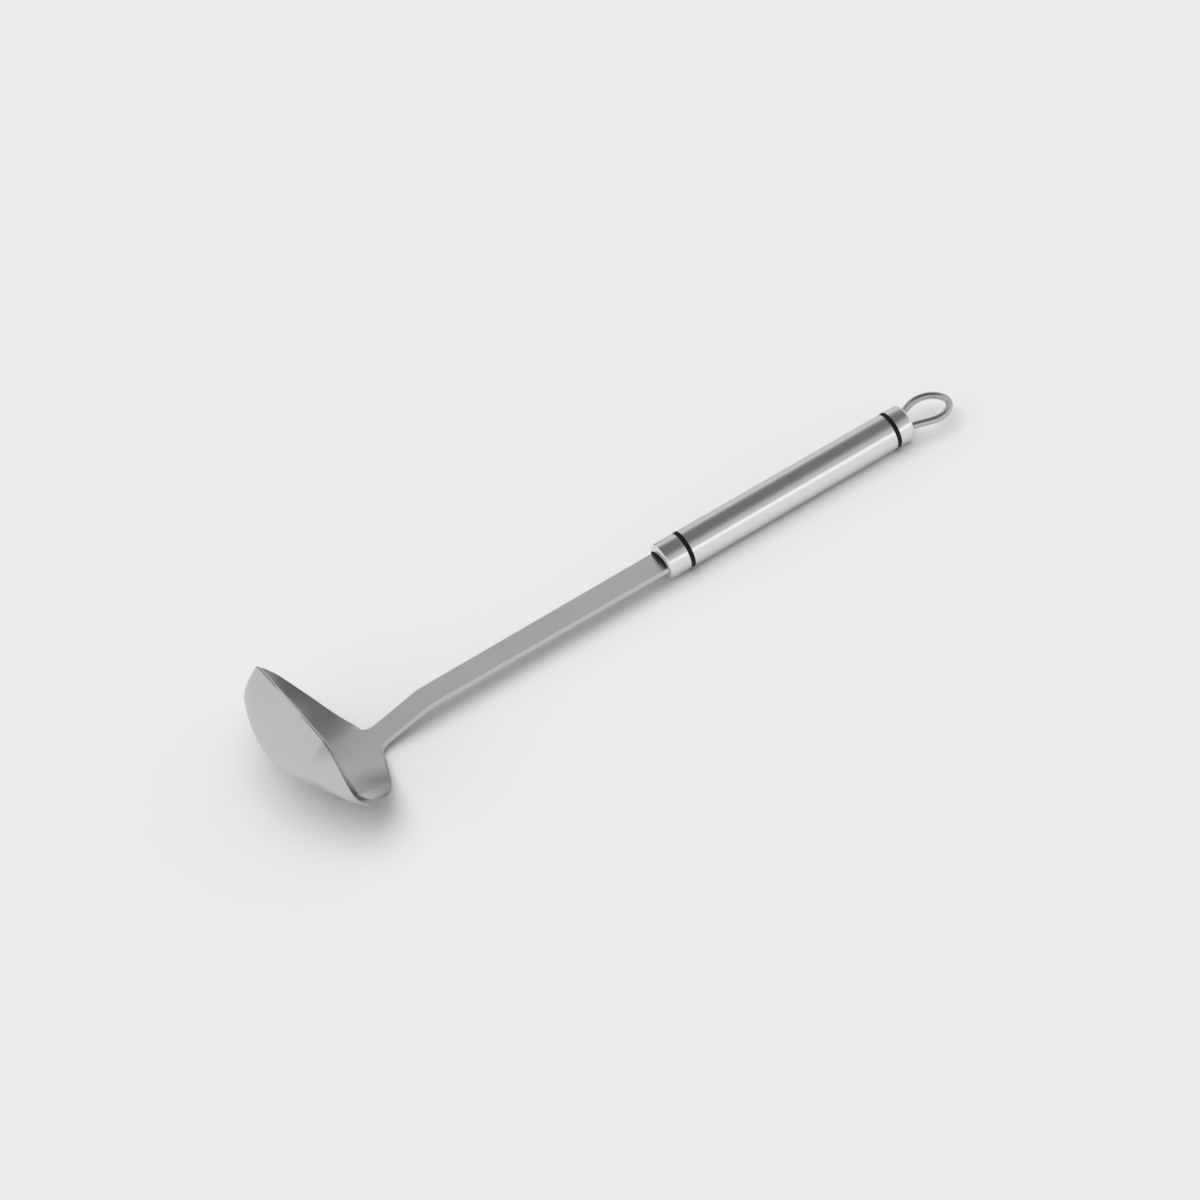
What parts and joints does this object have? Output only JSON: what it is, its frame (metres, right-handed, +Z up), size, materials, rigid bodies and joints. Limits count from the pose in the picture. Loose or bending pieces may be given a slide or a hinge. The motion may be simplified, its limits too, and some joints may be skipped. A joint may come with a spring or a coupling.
{
  "type": "sauce ladle",
  "caption": "Stainless steel ladle with a boat-shaped bowl that pours from both sides, on a flat shaft with a round handle and a hanging loop.",
  "frame": {"origin": "centre of the ladle's box, on the surface that it lies on", "axes": "+X along the handle from the bowl to the hanging loop, +Z up from the surface, +Y to the left of the handle seen from the bowl's side with Z up"},
  "size_m": [0.348, 0.115, 0.0419],
  "materials": {
    "satin_sheet": "fine satin",
    "brushed_handle": "brushed round the axis",
    "polished_wire": "polished",
    "black_ring": "matt"
  },
  "bodies": {
    "root": {"ladle_head": "satin_sheet", "front_collar": "brushed_handle", "front_ring": "black_ring", "handle_tube": "brushed_handle", "rear_ring": "black_ring", "end_cap": "brushed_handle", "hanging_loop": "polished_wire"}
  },
  "joints": []
}
